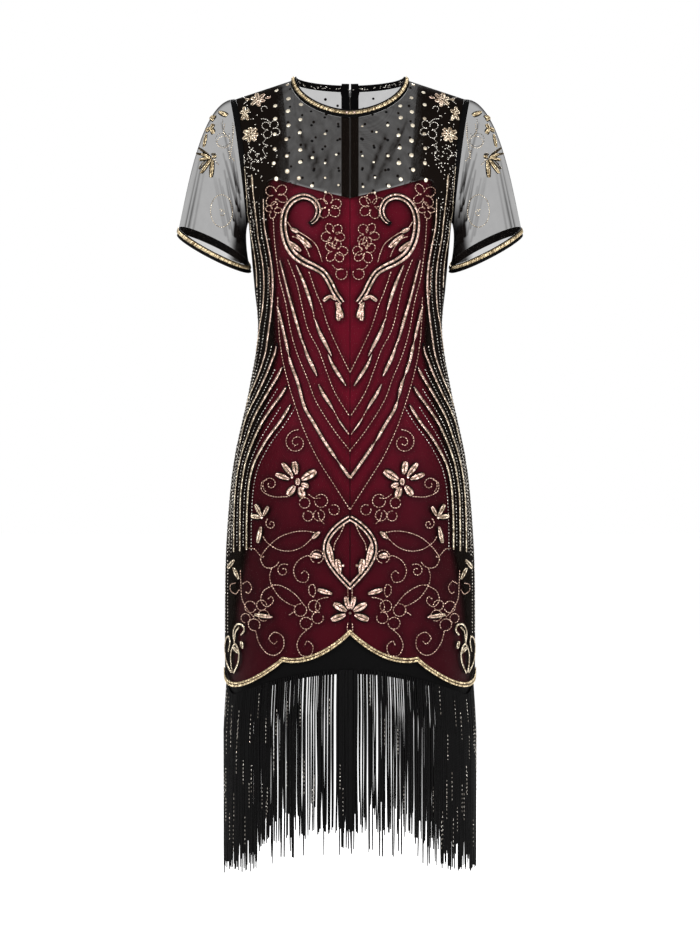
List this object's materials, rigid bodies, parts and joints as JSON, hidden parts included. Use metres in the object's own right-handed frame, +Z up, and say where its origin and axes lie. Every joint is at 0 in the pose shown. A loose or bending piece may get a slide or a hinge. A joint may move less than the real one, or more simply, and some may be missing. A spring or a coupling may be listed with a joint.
{
  "type": "flapper dress",
  "caption": "Sleeved flapper dress, filled out as if worn: black net with gold beadwork over a wine slip, scalloped hem and long fringe.",
  "frame": {"origin": "midway between the shoulder seams, where the wearer's shoulders carry the dress", "axes": "+Z up, -Y to the front, +X to the wearer's left"},
  "size_m": [0.5202, 0.25, 1.1868],
  "materials": {
    "net": "sheer black net",
    "slip": "wine satin lining",
    "band": "black binding",
    "gold": "pale gold bugle beads and braid",
    "fringe": "black bead and thread fringe",
    "zip": "black enamel"
  },
  "bodies": {
    "dress": {"net_front": "net", "net_back_left": "net", "net_back_right": "net", "inner_yoke_left": "net", "inner_yoke_right": "net", "sleeve_left": "net", "sleeve_right": "net", "slip_front_left": "slip", "slip_front_right": "slip", "slip_back": "slip", "armhole_binding_left": "band", "armhole_binding_right": "band", "cuff_band_left": "band", "cuff_band_right": "band", "neck_band": "band", "hem_band_front": "band", "hem_band_back": "band", "zip_tape_left": "band", "zip_tape_right": "band", "cuff_beading_left": "gold", "cuff_beading_right": "gold", "neck_beading": "gold", "hem_braid_front": "gold", "hem_braid_back": "gold", "scroll_left": "gold", "scroll_right": "gold", "mandorla_front": "gold", "mandorla_back": "gold", "flower_front_a": "gold", "flower_front_b": "gold", "flower_back_a": "gold", "flower_back_b": "gold", "fringe_front": "fringe", "fringe_back": "fringe", "zip_chain": "zip", "zip_slider": "zip"},
    "zip_pull": {"zip_pull": "zip"}
  },
  "joints": [
    {"name": "pull_hinge", "type": "hinge", "parent": "dress", "child": "zip_pull", "pos_m": [0, 0.05888, 0.00229], "axis": [1, 0, 0], "range_deg": [0, 165]}
  ]
}
